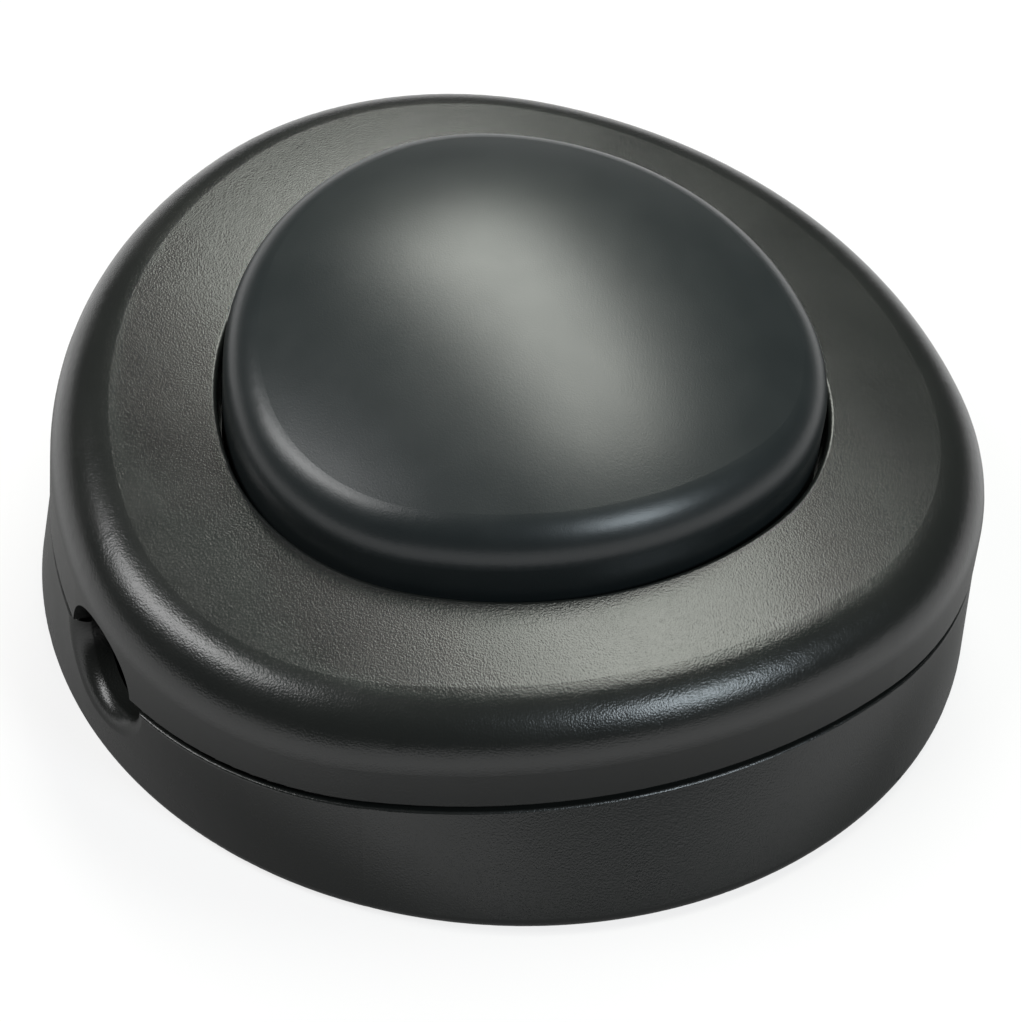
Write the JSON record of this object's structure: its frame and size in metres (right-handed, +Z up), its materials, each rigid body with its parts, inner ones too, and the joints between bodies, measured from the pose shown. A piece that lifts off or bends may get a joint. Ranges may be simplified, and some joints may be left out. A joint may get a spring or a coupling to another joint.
{
  "type": "foot switch",
  "caption": "Rounded triangular foot switch for a lamp cord, with a split moulded housing, a large domed push button, cord entries at the sides and a ratchet rotor inside.",
  "frame": {"origin": "on the rotor axis, at the underside the switch stands on", "axes": "+Z up along the button's travel, +Y to the back corner of the rounded triangle, X along the cord"},
  "size_m": [0.0682, 0.0689, 0.0282],
  "materials": {
    "base": "spark-textured moulded plastic",
    "cover": "spark-textured moulded plastic",
    "foot_button": "satin moulded plastic",
    "rotor": "natural moulded plastic",
    "clamp": "moulded plastic",
    "screw_steel": "zinc plated",
    "axle_steel": "ground steel",
    "spring_steel": "drawn spring wire and strip",
    "contact_brass": "stamped strip",
    "contact_silver": "silver faced rivet",
    "terminal_brass": "sawn and drilled bar"
  },
  "bodies": {
    "housing": {"base": "base", "cover": "cover", "housing_screws": "screw_steel", "rotor_axle": "axle_steel", "axle_clip": "spring_steel", "detent_spring": "spring_steel", "return_spring": "spring_steel", "fixed_contact_left": "contact_brass", "fixed_contact_right": "contact_brass", "fixed_contact_rivets": "contact_silver", "terminal_left": "terminal_brass", "terminal_right": "terminal_brass", "terminal_through": "terminal_brass", "terminal_screws": "screw_steel", "cord_clamp_left": "clamp", "cord_clamp_right": "clamp", "clamp_screws": "screw_steel"},
    "button": {"foot_button": "foot_button"},
    "rotor": {"rotor": "rotor", "contact_bridge": "contact_brass", "bridge_contacts": "contact_silver"}
  },
  "joints": [
    {"name": "button_press", "type": "slide", "parent": "housing", "child": "button", "axis": [0, 0, -1], "range_m": [0, 0.0035], "stiffness_N_per_m": 1500, "springref_m": -0.004, "deforming": ["return_spring"]},
    {"name": "rotor_turn", "type": "hinge", "parent": "housing", "child": "rotor", "pos_m": [0, 0, 0], "axis": [0, 0, 1], "range_deg": [0, 72]}
  ],
  "couplings": [
    {"joint": "rotor_turn", "follows": "button_press", "rad_per_m": 359.03}
  ]
}
